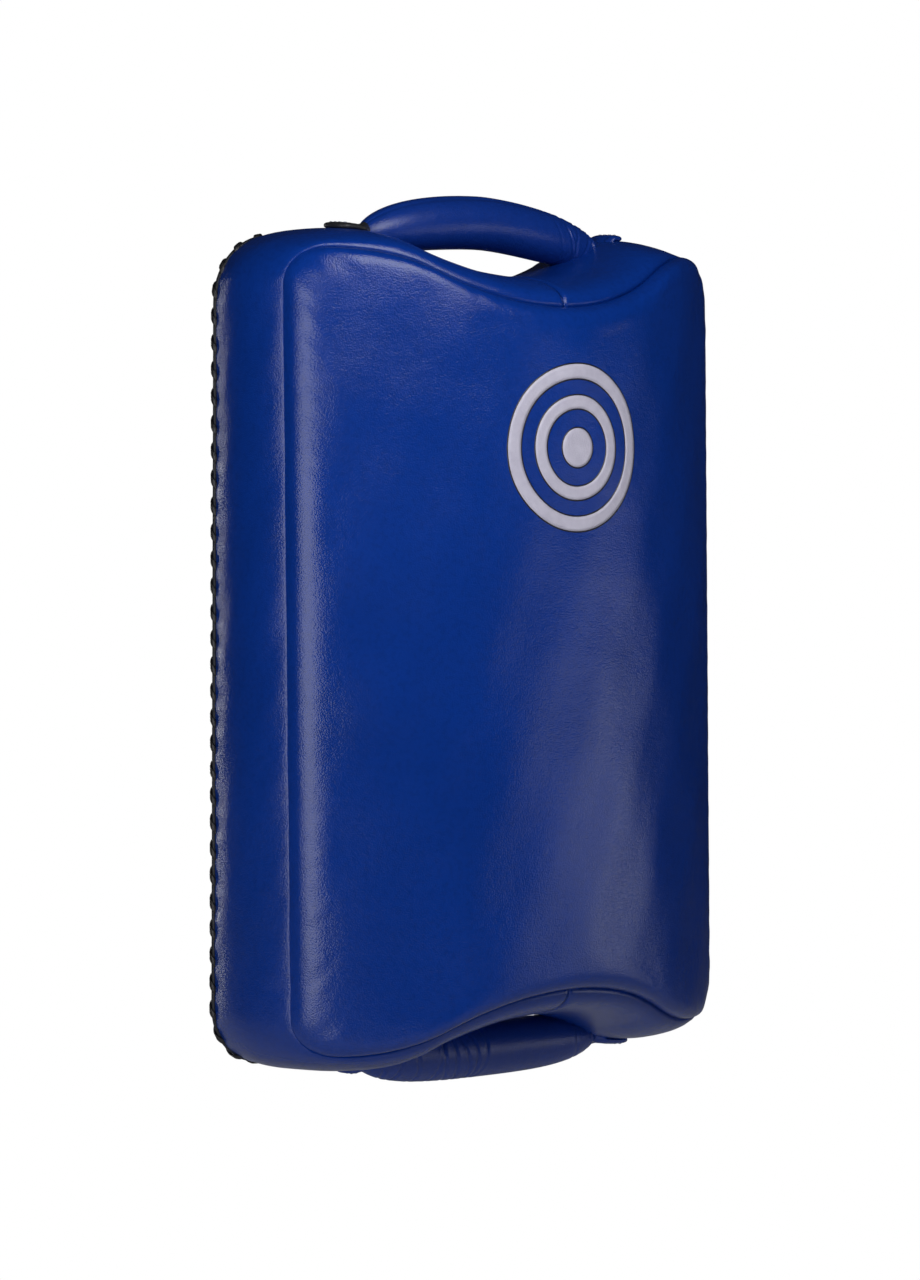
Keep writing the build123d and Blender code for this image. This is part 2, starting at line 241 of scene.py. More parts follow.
def patch_grid(loop):
    """A grid that fills a closed loop (rows from top to bottom, columns from left to right),
    blended from its four sides."""
    count = len(loop)
    quarter = count // 4
    corner = quarter * CORNER_AT // QUARTER
    top = loop[np.arange(count - corner, count + corner + 1) % count]
    right = loop[np.arange(corner, 2 * quarter - corner + 1)]
    bottom = loop[np.arange(2 * quarter - corner, 2 * quarter + corner + 1)][::-1]
    left = loop[np.arange(2 * quarter + corner, count - corner + 1)][::-1]
    u = np.linspace(0, 1, len(top))[None, :, None]
    v = np.linspace(0, 1, len(left))[:, None, None]
    corners = ((1 - u) * (1 - v) * top[0] + u * (1 - v) * top[-1]
               + (1 - u) * v * bottom[0] + u * v * bottom[-1])
    return ((1 - v) * top[None] + v * bottom[None] + (1 - u) * left[:, None]
            + u * right[:, None] - corners)


def sheet_points(grid, y):
    """Points in space of a grid of (x, z) points, row by row, at the given y."""
    return np.dstack([grid[..., 0], y, grid[..., 1]]).reshape(-1, 3)


def rim_distance(points, loop):
    """Distance of each (x, z) point to a loop."""
    flat = points.reshape(-1, 2)
    best = np.full(len(flat), 1e9)
    for part in np.array_split(loop, 12):
        gap = np.linalg.norm(flat[:, None] - part[None], axis=2).min(1)
        best = np.minimum(best, gap)
    return best.reshape(points.shape[:-1])


# ---------------------------------------------------------------- materials
def new_material(name):
    material = bpy.data.materials.new(name)
    material.use_nodes = True
    nodes = material.node_tree.nodes
    return material, nodes, material.node_tree.links, nodes["Principled BSDF"]


def object_noise(nodes, links, scale, detail=4.0, roughness=0.55, distortion=0.0, stretch=None):
    """Noise on the piece's own coordinates, in cells per metre."""
    place = nodes.new("ShaderNodeTexCoord")
    noise = nodes.new("ShaderNodeTexNoise")
    noise.inputs["Scale"].default_value = scale
    noise.inputs["Detail"].default_value = detail
    noise.inputs["Roughness"].default_value = roughness
    noise.inputs["Distortion"].default_value = distortion
    vector = place.outputs["Object"]
    if stretch:
        mapping = nodes.new("ShaderNodeMapping")
        mapping.inputs["Scale"].default_value = stretch
        links.new(vector, mapping.inputs["Vector"])
        vector = mapping.outputs["Vector"]
    links.new(vector, noise.inputs["Vector"])
    return noise.outputs["Fac"]


def ranged(nodes, links, value, low, high, start=0.3, end=0.7):
    """A value from start to end, spread from low to high."""
    spread = nodes.new("ShaderNodeMapRange")
    spread.inputs["From Min"].default_value = start
    spread.inputs["From Max"].default_value = end
    spread.inputs["To Min"].default_value = low
    spread.inputs["To Max"].default_value = high
    links.new(value, spread.inputs["Value"])
    return spread.outputs["Result"]


def mixed(nodes, links, factor, first, second):
    """A colour between two others, each given as three numbers or as a socket."""
    mix = nodes.new("ShaderNodeMix")
    mix.data_type = "RGBA"
    for socket, colour in (("A", first), ("B", second)):
        entry = [s for s in mix.inputs if s.name == socket and s.type == "RGBA"][0]
        if isinstance(colour, tuple):
            entry.default_value = (*colour, 1)
        else:
            links.new(colour, entry)
    links.new(factor, [s for s in mix.inputs if s.name == "Factor" and s.type == "VALUE"][0])
    return [s for s in mix.outputs if s.type == "RGBA"][0]


def coloured(nodes, links, shader, value, dark, light):
    """Links a colour that goes from dark to light with a value."""
    colour = mixed(nodes, links, ranged(nodes, links, value, 0.0, 1.0), dark, light)
    links.new(colour, shader.inputs["Base Color"])


def bumped(nodes, links, height, distance, normal=None, invert=False):
    """A bump of the given height in metres, on top of another normal."""
    bump = nodes.new("ShaderNodeBump")
    bump.inputs["Strength"].default_value = 1.0
    bump.inputs["Distance"].default_value = distance
    bump.invert = invert
    links.new(height, bump.inputs["Height"])
    if normal:
        links.new(normal, bump.inputs["Normal"])
    return bump.outputs["Normal"]


def cells(nodes, links, scale):
    """Distance to the middle of the nearest cell, with the given number of cells per metre."""
    place = nodes.new("ShaderNodeTexCoord")
    pattern = nodes.new("ShaderNodeTexVoronoi")
    pattern.feature = "F1"
    pattern.inputs["Scale"].default_value = scale
    links.new(place.outputs["Object"], pattern.inputs["Vector"])
    return pattern.outputs["Distance"]


PEBBLES = 820.0  # grains per metre
FOLDS = 75.0


def leather(name, dark, light, roughness=(0.18, 0.23), coat=0.0, grain=1.0, creases=1.0):
    """Coated leather: pebble grain, fine creases, soft waves, and a slightly uneven colour."""
    material, nodes, links, shader = new_material(name)
    shader.inputs["Specular IOR Level"].default_value = 0.5
    shader.inputs["Coat Weight"].default_value = coat
    shader.inputs["Coat Roughness"].default_value = 0.28
    broad = object_noise(nodes, links, 9.0, 5.0)
    fine = object_noise(nodes, links, 240.0, 3.0)
    colour = mixed(nodes, links, ranged(nodes, links, broad, 0.0, 1.0), dark, light)
    worn = tuple(0.72 * c for c in dark)
    colour = mixed(nodes, links, ranged(nodes, links, fine, 0.0, 0.35, 0.45, 0.7), colour, worn)
    links.new(colour, shader.inputs["Base Color"])
    patchy = object_noise(nodes, links, 26.0, 4.0)
    links.new(ranged(nodes, links, patchy, *roughness), shader.inputs["Roughness"])
    waves = object_noise(nodes, links, 16.0, 2.0)
    normal = bumped(nodes, links, waves, 0.0007)
    folds = object_noise(nodes, links, FOLDS, 3.0, 0.5, 0.5)
    normal = bumped(nodes, links, folds, 0.00024 * creases, normal)
    pebble = cells(nodes, links, PEBBLES)
    normal = bumped(nodes, links, pebble, 0.00014 * grain, normal, invert=True)
    links.new(normal, shader.inputs["Normal"])
    return material


def woven(name, dark, light, pitch=1.6, depth=0.0003, roughness=0.75, sheen=0.25):
    """Woven webbing or lining: ribs of the given pitch in millimetres, across and along."""
    material, nodes, links, shader = new_material(name)
    shader.inputs["Roughness"].default_value = roughness
    shader.inputs["Sheen Weight"].default_value = sheen
    place = nodes.new("ShaderNodeTexCoord")
    heights = []
    for turned in ("X", "Z"):
        wave = nodes.new("ShaderNodeTexWave")
        wave.wave_type = "BANDS"
        wave.bands_direction = turned
        wave.inputs["Scale"].default_value = 1000 / pitch / 20 * pi
        wave.inputs["Distortion"].default_value = 0.4
        links.new(place.outputs["Object"], wave.inputs["Vector"])
        heights.append(wave.outputs["Fac"])
    product = nodes.new("ShaderNodeMath")
    product.operation = "MULTIPLY"
    links.new(heights[0], product.inputs[0])
    links.new(heights[1], product.inputs[1])
    colour = mixed(nodes, links, product.outputs["Value"], dark, light)
    links.new(colour, shader.inputs["Base Color"])
    normal = bumped(nodes, links, product.outputs["Value"], depth)
    fuzz = object_noise(nodes, links, 900.0, 2.0)
    links.new(bumped(nodes, links, fuzz, 0.00012, normal), shader.inputs["Normal"])
    return material


def fuzzy(name, dark, light, scale, depth, sheen):
    """Hook-and-loop tape: dense small loops or hooks."""
    material, nodes, links, shader = new_material(name)
    shader.inputs["Roughness"].default_value = 0.85
    shader.inputs["Sheen Weight"].default_value = sheen
    loops = cells(nodes, links, scale)
    tangle = object_noise(nodes, links, scale * 1.4, 3.0, 0.6, 1.0)
    coloured(nodes, links, shader, tangle, dark, light)
    normal = bumped(nodes, links, loops, depth, invert=True)
    links.new(bumped(nodes, links, tangle, depth * 0.7, normal), shader.inputs["Normal"])
    return material


def foam(name, dark, light, cell):
    """Cut foam with open cells of the given size in millimetres."""
    material, nodes, links, shader = new_material(name)
    shader.inputs["Roughness"].default_value = 0.95
    pores = cells(nodes, links, 1000 / cell)
    colour = mixed(nodes, links, ranged(nodes, links, pores, 0.0, 1.0, 0.1, 0.6), dark, light)
    links.new(colour, shader.inputs["Base Color"])
    links.new(bumped(nodes, links, pores, 0.0006), shader.inputs["Normal"])
    return material


def plated(name):
    """Polished nickel plate with faint wear and fine scratches."""
    material, nodes, links, shader = new_material(name)
    shader.inputs["Metallic"].default_value = 1.0
    wear = object_noise(nodes, links, 160.0, 5.0)
    coloured(nodes, links, shader, wear, (0.66, 0.65, 0.62), (0.8, 0.79, 0.77))
    links.new(ranged(nodes, links, wear, 0.1, 0.28), shader.inputs["Roughness"])
    scratches = object_noise(nodes, links, 700.0, 2.0, 0.5, 0.0, (1, 1, 0.05))
    links.new(bumped(nodes, links, scratches, 0.00003), shader.inputs["Normal"])
    return material


def printed(name, dark, light, roughness=0.5):
    """Screen print: takes the leather's folds and grain, with slightly uneven ink."""
    material, nodes, links, shader = new_material(name)
    ink = object_noise(nodes, links, 120.0, 5.0)
    coloured(nodes, links, shader, ink, dark, light)
    shader.inputs["Roughness"].default_value = roughness
    folds = object_noise(nodes, links, FOLDS, 3.0, 0.5, 1.4)
    normal = bumped(nodes, links, folds, 0.0004)
    pebble = cells(nodes, links, PEBBLES)
    links.new(bumped(nodes, links, pebble, 0.00012, normal, invert=True),
              shader.inputs["Normal"])
    return material


BODY_BLUES = ((0.0022, 0.031, 0.24), (0.003, 0.037, 0.285))
FACE_LEATHER = leather("face_leather", *BODY_BLUES)
GUSSET_LEATHER = leather("gusset_leather", *BODY_BLUES)
HANDLE_LEATHER = leather("handle_leather", (0.0035, 0.029, 0.22), (0.0045, 0.036, 0.27),
                         (0.27, 0.35), creases=1.8)
BACK_LEATHER = leather("back_leather", (0.012, 0.012, 0.014), (0.02, 0.02, 0.023),
                       (0.42, 0.56), 0.0, 1.6)
STRAP_LEATHER = leather("strap_leather", (0.014, 0.014, 0.016), (0.024, 0.024, 0.027),
                        (0.36, 0.5), 0.05, 1.4, 1.5)
LACE_LEATHER = leather("black_lace", (0.006, 0.006, 0.008), (0.016, 0.015, 0.018),
                       (0.38, 0.5), 0.05, 1.0, 1.5)
PIPING_LEATHER = leather("edge_piping", (0.004, 0.006, 0.012), (0.01, 0.012, 0.02),
                         (0.5, 0.6), 0.0)
LIGHT_THREAD = woven("light_thread", (0.16, 0.18, 0.26), (0.3, 0.32, 0.4), 0.5, 0.0001)
BLACK_THREAD = woven("black_thread", (0.03, 0.03, 0.035), (0.09, 0.09, 0.1), 0.5, 0.0001)
WEBBING = woven("webbing", (0.01, 0.01, 0.012), (0.05, 0.05, 0.055))
LINING = woven("pad_lining", (0.012, 0.012, 0.014), (0.05, 0.05, 0.055), 2.2, 0.0005)
LOOP_TAPE = fuzzy("loop_tape", (0.006, 0.006, 0.007), (0.03, 0.03, 0.032), 900.0, 0.0009, 0.6)
HOOK_TAPE = fuzzy("hook_tape", (0.01, 0.01, 0.011), (0.04, 0.04, 0.043), 620.0, 0.0006, 0.1)
DENSE_FOAM = foam("dense_foam", (0.03, 0.03, 0.033), (0.1, 0.1, 0.105), 1.2)
SOFT_FOAM = foam("soft_foam", (0.25, 0.24, 0.22), (0.55, 0.53, 0.48), 2.4)
STEEL = plated("ring_steel")
WHITE_INK = printed("mark_print", (0.52, 0.5, 0.62), (0.6, 0.58, 0.7))
BLACK_INK = printed("mark_outline", (0.006, 0.006, 0.012), (0.012, 0.012, 0.02), 0.4)


def finish_piece(obj, body, replaced=()):
    """Rides a piece on its body and hides the CAD nodes it stands for."""
    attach(obj, body)
    if replaced:
        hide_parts(*replaced)
    return obj


# ---------------------------------------------------------------- padded body
WALL_OUT = SEAM_OUT + BACK_OUT
WALL_OUT /= np.linalg.norm(WALL_OUT, axis=1)[:, None]
ENDNESS = WALL_OUT[:, 1] ** 2  # 1 on the top and bottom, 0 on the sides
SIDE_BULGE = 9.3
SCOOP_BULGE = 21.9
# the leather is slack on the top right shoulder and full on the others
SHOULDER_BULGE = np.where((SEAM_LOOP[:, 0] > 0) & (SEAM_LOOP[:, 1] > 0), -6.5, 7.0)
SCOOP_REACH, SHOULDER_FROM = 106, 195  # distances out between which the one bulge becomes the other
END_BULGE = SCOOP_BULGE + (SHOULDER_BULGE - SCOOP_BULGE) * smooth_step(
    (np.abs(SEAM_LOOP[:, 0]) - SCOOP_REACH) / (SHOULDER_FROM - SCOOP_REACH))
SEAM_PUCKER = (ripple(ROUND_S, ((97, 0.1, 0.10), (61, 0.6, 0.09), (143, 0.3, 0.05)))
               * (1 + 2.2 * CORNERNESS))
SEAM_DIP = 1.7  # depth of the groove along the front seam
JOIN_DIP = 1.6  # depth of the short seams where the two gussets meet
JOIN_GAP = np.abs(SEAM_LOOP[:, 0])
SEAM_TUCK = 0.4  # how far the wall is tucked in at the front seam
LACE_PULLS = 101.8  # how often the lace dents the wall, all the way round
FOAM_INSET = 4.0  # foam under the leather's surface


def wall_ring(share, inset=0.0, detail=True):
    """One ring of the side wall: share is 0 at the front seam and 1 at the laced edge."""
    seam = lifted(SEAM_LOOP, seam_y(*SEAM_LOOP.T))
    back = lifted(BACK_LOOP, -BACK_EDGE)
    ring = seam + (back - seam) * share
    depth = np.linalg.norm(back - seam, axis=1)
    side_share = max(0.0, sin(pi * share)) ** 0.8
    end_share = max(0.0, sin(pi * share ** 0.72)) ** 0.48  # full close behind the seam
    out = (SIDE_BULGE * side_share * (1 - ENDNESS) + END_BULGE * end_share * ENDNESS) - inset
    if detail:
        from_seam = share * depth
        from_back = (1 - share) * depth
        out = out + SEAM_PUCKER * np.exp(-from_seam / 13) * (1 - np.exp(-from_seam / 2.5))
        dents = ripple(ROUND_S, ((LACE_PULLS, 0.0, 0.35),))
        out = out + dents * np.exp(-((from_back - 5) / 5) ** 2)
        out = out - JOIN_DIP * np.exp(-((JOIN_GAP / 2.4) ** 2))
        out = out + ripple(ROUND_S * 31 + share * 2.3, ((1, 0.2, 0.12), (0.43, 0.7, 0.16)))
    ring[:, 0] += WALL_OUT[:, 0] * out
    ring[:, 2] += WALL_OUT[:, 1] * out
    return ring


def face_waves(x, z):
    """Soft unevenness of the leather over the foam."""
    return (0.34 * np.sin(2 * pi * (x / 97 + z / 210) + 1.3)
            + 0.26 * np.sin(2 * pi * (x / 61 - z / 143) + 4.0)
            + 0.18 * np.sin(2 * pi * (z / 77 + x / 300) + 2.0))


def face_rings(inset=0.0):
    """Rings of the rolled edge of the strike face, from its seam inwards."""
    rings = []
    for step in range(ROLL_RINGS + 1):
        turn = pi / 2 * step / ROLL_RINGS
        share = 1 - cos(turn)
        rise = ROLL_HEIGHT * (1 - (1 - share) ** 4) ** 0.5
        loop = SEAM_LOOP + (FLAT_LOOP - SEAM_LOOP) * share - SEAM_OUT * inset * (1 - share)
        pucker = SEAM_PUCKER * sin(turn * 2) ** 2
        y = seam_y(*loop.T) - rise + inset * rise / ROLL_HEIGHT - pucker
        y = y - face_waves(*loop.T) * share ** 2
        rings.append(lifted(loop, y + SEAM_DIP * np.exp(-((step / 2.6) ** 2))))
    return rings


def face_height(x, z):
    """y of the strike face inside its rolled edge."""
    return seam_y(x, z) - ROLL_HEIGHT - face_waves(x, z)


def strike_face():
    """Front leather: its rolled edge, and the curved face inside it."""
    rings = face_rings()
    grid = patch_grid(np.delete(rings[-1], 1, 1))
    inside = sheet_points(grid, face_height(grid[..., 0], grid[..., 1]))
    points = np.concatenate(rings + [inside])
    faces = grid_faces(len(rings), COUNT, closed=True)
    faces += grid_faces(*grid.shape[:2], start=len(rings) * COUNT)
    obj = thicken(mesh_object("strike_face", points, faces, FACE_LEATHER), SKIN)
    return finish_piece(obj, "shield", ("front_panel",))


def gusset(name, node, first, last):
    """Half of the side wall, from one join seam to the other."""
    shares = [0.5 * (1 - cos(pi * r / WALL_ROWS)) for r in range(WALL_ROWS + 1)]
    columns = np.arange(first, last + 1) % COUNT
    rings = [wall_ring(share)[columns] for share in shares]
    rings[0] = rings[0] - lifted(WALL_OUT, 0.0)[columns] * SEAM_TUCK
    faces = grid_faces(len(rings), len(columns))
    obj = thicken(mesh_object(name, np.concatenate(rings), faces, GUSSET_LEATHER), SKIN)
    return finish_piece(obj, "shield", (node,))


def back_cover():
    """Back leather, pulled forwards to the laced edge round its rim."""
    grid = patch_grid(BACK_LOOP)
    spot = rim_distance(grid, BACK_LOOP)
    x, z = grid[..., 0], grid[..., 1]
    waves = 0.3 * np.sin(x / 21 + z / 47) * np.sin(z / 31 - x / 90) - 0.35
    y = -BACK_EDGE * np.exp(-spot / 7) + waves * smooth_step(spot / 25)
    faces = grid_faces(*grid.shape[:2])
    obj = mesh_object("back_cover", sheet_points(grid, y), faces, BACK_LEATHER)
    return finish_piece(thicken(obj, SKIN), "shield", ("back_panel",))


def foam_layer(name, node, front, back, material, faced=False):
    """A closed foam layer between two shares of the wall's depth, just inside the leather; one
    that is faced also fills the strike face's rolled edge."""
    coarse = slice(None, None, 4)
    rings = [ring[coarse] for ring in face_rings(FOAM_INSET)[::-3]] if faced else []
    rings += [wall_ring(share, FOAM_INSET, False)[coarse]
              for share in np.linspace(front, back, 5)]
    count = len(rings[0])
    points, faces = [np.concatenate(rings)], grid_faces(len(rings), count, closed=True)
    start = len(rings) * count
    for ring in (rings[0], rings[-1]):
        grid = patch_grid(np.delete(ring, 1, 1))
        rim_y = patch_grid(np.column_stack([ring[:, 1], ring[:, 1]]))[..., 0]
        if ring is rings[0] and faced:
            rim_y = seam_y(grid[..., 0], grid[..., 1]) - ROLL_HEIGHT + FOAM_INSET
        points.append(sheet_points(grid, rim_y))
        faces += grid_faces(*grid.shape[:2], start=start)
        start += len(points[-1])
    obj = mesh_object(name, np.concatenate(points), faces, material)
    return finish_piece(obj, "shield", (node,))


strike_face()
gusset("gusset_right", "right_gusset", 0, 2 * QUARTER)
gusset("gusset_left", "left_gusset", 2 * QUARTER, COUNT)
back_cover()
foam_layer("foam_strike", "strike_foam", 0.02, 0.27, DENSE_FOAM, True)
foam_layer("foam_core", "core_foam", 0.28, 0.84, SOFT_FOAM)
foam_layer("foam_back", "back_foam", 0.85, 0.97, DENSE_FOAM)


# ---------------------------------------------------------------- laced back edge
LACE_TURNS = 102
LACE_RADIUS = 2.7
LACE_HALF = (2.3, 0.85)  # half width and half thickness of the lace
PIPING = 1.9
LACE_SHIFT = 0.6  # the edge's core, outside the back outline


def edge_frame(count):
    """Points along the laced edge's core, and their outward and their backward directions."""
    closed = np.concatenate([BACK_LOOP, BACK_LOOP[:1]])
    loop = resample(closed, count + 1)[:-1]
    out = lifted(outward(loop), 0.0)
    return lifted(loop, -BACK_EDGE) + out * LACE_SHIFT, out, np.tile((0.0, 1.0, 0.0), (count, 1))


def tube(points, first, second, radius_at, sides):
    """Rings of points round a path; first and second span each ring's plane, and radius_at has
    a radius along each."""
    turn = np.arange(sides) * 2 * pi / sides
    ring = (np.cos(turn)[None, :, None] * first[:, None] * radius_at[:, 0, None, None]
            + np.sin(turn)[None, :, None] * second[:, None] * radius_at[:, 1, None, None])
    return (points[:, None] + ring).reshape(-1, 3)


def edge_piping():
    """The edge's core, round which the lace goes."""
    count, sides = 480, 10
    points = tube(*edge_frame(count), np.full((count, 2), PIPING), sides)
    obj = mesh_object("edge_piping", points, looped_faces(count, sides), PIPING_LEATHER)
    return finish_piece(obj, "shield")


def edge_lace():
    """The lace whipped over the back edge: a flat strip wound round it all the way."""
    steps, sides = 26, 8
    count = LACE_TURNS * steps
    centre, out, back = edge_frame(count)
    turn = np.arange(count) * 2 * pi / steps + 0.35 * np.sin(np.arange(count) * 0.013)
    radial = out * np.cos(turn)[:, None] + back * np.sin(turn)[:, None]
    path = centre + radial * LACE_RADIUS
    ahead = np.roll(path, -1, 0) - np.roll(path, 1, 0)
    ahead /= np.linalg.norm(ahead, axis=1)[:, None]
    across = np.cross(ahead, radial)
    across /= np.linalg.norm(across, axis=1)[:, None]
    points = tube(path, across, radial, np.tile(LACE_HALF, (count, 1)), sides)
    obj = mesh_object("edge_lacing", points, looped_faces(count, sides), LACE_LEATHER)
    return finish_piece(obj, "shield", ("edge_lace",))


edge_piping()
edge_lace()


# ---------------------------------------------------------------- stitches
def stitches(name, runs, material, body, length=3.4, gap=1.6, radius=0.5):
    """Sewn thread along runs of (points, normal), each stitch half sunk in the leather."""
    profile = ((-1.0, 0.0), (-0.7, 0.75), (0.0, 1.0), (0.7, 0.75), (1.0, 0.0))
    sides = 6
    points, faces = [], []
    for path, normal in runs:
        path = np.asarray(path, float)
        steps = np.linalg.norm(np.diff(path, axis=0), axis=1)
        total = steps.sum()
        count = max(1, int(total // (length + gap)))
        marks = np.concatenate([[0], np.cumsum(steps)])
        for n in range(count):
            start = (n + 0.5) * total / count
            ends = [np.array([np.interp(start + side * length / 2, marks, path[:, i])
                              for i in range(3)]) for side in (-1, 1)]
            middle, axis = (ends[0] + ends[1]) / 2, (ends[1] - ends[0]) / 2
            up = np.asarray(normal, float)
            side_way = np.cross(axis, up)
            side_way /= np.linalg.norm(side_way)
            first = len(points)
            for along, wide in profile:
                for c in range(sides):
                    a = 2 * pi * c / sides
                    points.append(middle + axis * along
                                  + (side_way * cos(a) + up * sin(a)) * radius * wide)
            faces += grid_faces(len(profile), sides, start=first, closed=True)
    obj = mesh_object(name, points, faces, material)
    return finish_piece(obj, body)


# ---------------------------------------------------------------- rolled handles
WALL_TABLE = np.concatenate([wall_ring(share, detail=False) for share in np.linspace(0, 1, 90)])


def shoulder_height(x, y, end):
    """Height of the wall's surface at (x, y), on the top (end 1) or the bottom (end -1)."""
    table = WALL_TABLE[WALL_TABLE[:, 2] * end > 200]
    gap = (table[:, 0] - x) ** 2 + (table[:, 1] - y) ** 2
    near = np.argpartition(gap, 6)[:6]
    weight = 1 / (gap[near] + 0.2)
    return float((np.abs(table[near, 2]) * weight).sum() / weight.sum())


# place along the handle, slant, half width and share of the full depth of each crease, and where
# round the handle it is deepest, in degrees from its back over its top
TOP_CREASES = ((66, 7, 1.5, 0.3, 120), (73, 8, 1.4, 0.5, 130), (79, 7, 1.5, 0.6, 115),
               (84, 9, 1.3, 0.5, 135), (89, 6, 1.5, 0.7, 120), (94, 8, 1.4, 0.6, 130),
               (99, 5, 1.5, 0.8, 115), (104, 6, 1.4, 0.7, 140), (109, 4, 1.4, 0.8, 120))
BOTTOM_CREASES = ((-6, 6, 1.7, 0.35, 160), (-14, 8, 1.5, 0.6, 170), (-21, 6, 1.7, 0.8, 150),
                  (-28, 8, 1.5, 0.85, 165), (-35, 5, 1.7, 0.9, 180), (-42, 7, 1.6, 0.85, 160),
                  (-50, 5, 1.7, 0.8, 150), (-78, 6, 1.8, 0.8, 170), (-88, 4, 1.7, 0.9, 160),
                  (-99, 5, 1.6, 1.0, 170), (96, 6, 1.8, 0.3, 190), (105, 5, 1.6, 0.5, 200))
CREASE_FULL = 1.6  # full depth of a crease
ROLL_SEAMS = {1: 118, -1: 62}  # where round each roll its seam lies, in the same degrees
ROLL_SEAM_DEPTH = 0.9


def roll_axis(u, end):
    """Height of a handle's axis at a share u of its reach, -1 to 1."""
    roll = ROLLS[end]
    return end * (roll["crest"] - roll["dip"] * np.abs(u) ** roll["bend"] - roll["lean"] * u)


def roll_radius(u, end, less=0.0):
    """Radius there, full in the middle and down to the neck's at the ends."""
    full = (ROLLS[end]["radius"] - less) ** 2
    return np.sqrt(full * (1 - np.abs(u) ** 4) + (NECK_RADIUS - less / 2) ** 2 * np.abs(u) ** 4)


def crease_depth(x, turn, creases):
    """How far the creases and the low ridges beside them pull the leather in."""
    total = 0.0
    for at, slant, half, depth, facing in creases:
        off = (x - at - slant * sin(turn + at)) / half
        reach = 0.35 + 0.65 * (0.5 + 0.5 * cos(turn - radians(facing))) ** 1.5
        total += depth * reach * (np.exp(-off * off) - 0.4 * np.exp(-(off / 2.2) ** 2))
    return CREASE_FULL * total


def rolled(name, end, creases, less, material, rows=380, sides=72):
    """A stuffed roll: a closed tube that narrows to its two necks, with a seam along it."""
    seam_at = radians(ROLL_SEAMS[end])
    points = []
    for u in np.sin(np.linspace(-pi / 2, pi / 2, rows)):
        x = u * (ROLL_REACH - less)
        for c in range(sides):
            turn = 2 * pi * c / sides
            r = roll_radius(u, end, less)
            if creases:
                seam_off = (turn - seam_at + pi) % (2 * pi) - pi
                r -= crease_depth(x, turn, creases)
                r -= ROLL_SEAM_DEPTH * np.exp(-(seam_off / 0.07) ** 2)
            points.append((x, HANDLE_Y + r * cos(turn), roll_axis(u, end) + r * sin(turn)))
    return mesh_object(name, points, capped_faces(rows, sides), material)


def tab(name, node, side, end, rows=46, sides=40):
    """Leather tongue that wraps the handle's neck and lies sewn on the shoulder."""
    points = []
    # painted shade: the top left tongue is the same blue tongue as the others, made black for the
    # shade it lies in
    dark = side < 0 < end
    tip_x = TAB_TIPS[end, side]
    root = DARK_TAB_ROOT if dark else TAB_ROOT
    flat_from, flat_to = TAB_FLATTENS
    for row in range(rows + 1):
        share = row / rows
        x = side * (root + (tip_x - root) * share)
        flat = float(smooth_step((abs(x) - flat_from) / (flat_to - flat_from)))
        u = min(abs(x) / ROLL_REACH, 1.0)
        round_r = float(roll_radius(u, end)) + (0.2 if dark else 1.2 * smooth_step(share * 4))
        tip = max(0.0, (abs(x) - (tip_x - TAB_TIP_LENGTH)) / TAB_TIP_LENGTH)
        half = (round_r * (1 - flat) + TAB_HALF * flat) * max(0.0, 1 - tip ** 2.4) ** 0.5
        thick = (round_r * (1 - flat) + TAB_THICK / 2 * flat) * (1 - 0.5 * tip ** 3)
        axis = abs(roll_axis(side * u, end))
        for c in range(sides):
            turn = 2 * pi * c / sides
            wide = np.sign(cos(turn)) * abs(cos(turn)) ** (1 - 0.45 * flat)
            high = np.sign(sin(turn)) * abs(sin(turn)) ** (1 - 0.2 * flat)
            y = HANDLE_Y + half * wide
            ground = shoulder_height(x, y, end) + TAB_THICK / 2 - TAB_SUNK
            folds = 0.8 * sin(turn * 5 + 1.3 * side) + 0.5 * sin(turn * 9)
            middle = axis * (1 - flat) + ground * flat
            points.append((x, y, end * (middle + (thick + folds * 4 * flat * (1 - flat)) * high)))
    # black strap leather on the top left tongue is painted shade
    material = STRAP_LEATHER if dark else HANDLE_LEATHER
    obj = mesh_object(name, points, capped_faces(rows + 1, sides), material)
    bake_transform(obj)
    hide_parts(node)
    return obj


def tab_stitches(name, side, end):
    """A small sewn box on a tongue's flat part."""
    up = (0, 0, end)
    near, far = TAB_TIPS[end, side] - 11, TAB_TIPS[end, side] - 5

    def spot(x, across):
        y = HANDLE_Y + across
        return (side * x, y, end * (shoulder_height(side * x, y, end) + TAB_THICK - 0.75))

    runs = [([spot(x, v) for v in (-8, -3, 3, 8)], up) for x in (near, far)]
    runs += [([spot(x, v) for x in (near, (near + far) / 2, far)], up) for v in (-8.5, 8.5)]
    return stitches(name, runs, LIGHT_THREAD, "shield", radius=0.6)


def core_web(name, node, body, end):
    """Webbing that runs through the middle of a roll."""
    wide, thick = CORE_WEB_HALF
    section = ((-wide, -thick), (-wide, thick), (wide, thick), (wide, -thick))
    stations = np.linspace(-CORE_WEB_REACH, CORE_WEB_REACH, 45)
    points = [(x, HANDLE_Y + y, roll_axis(x / ROLL_REACH, end) + h)
              for x in stations for y, h in section]
    obj = mesh_object(name, points, capped_faces(len(stations), len(section)), WEBBING)
    return finish_piece(obj, body, (node,))


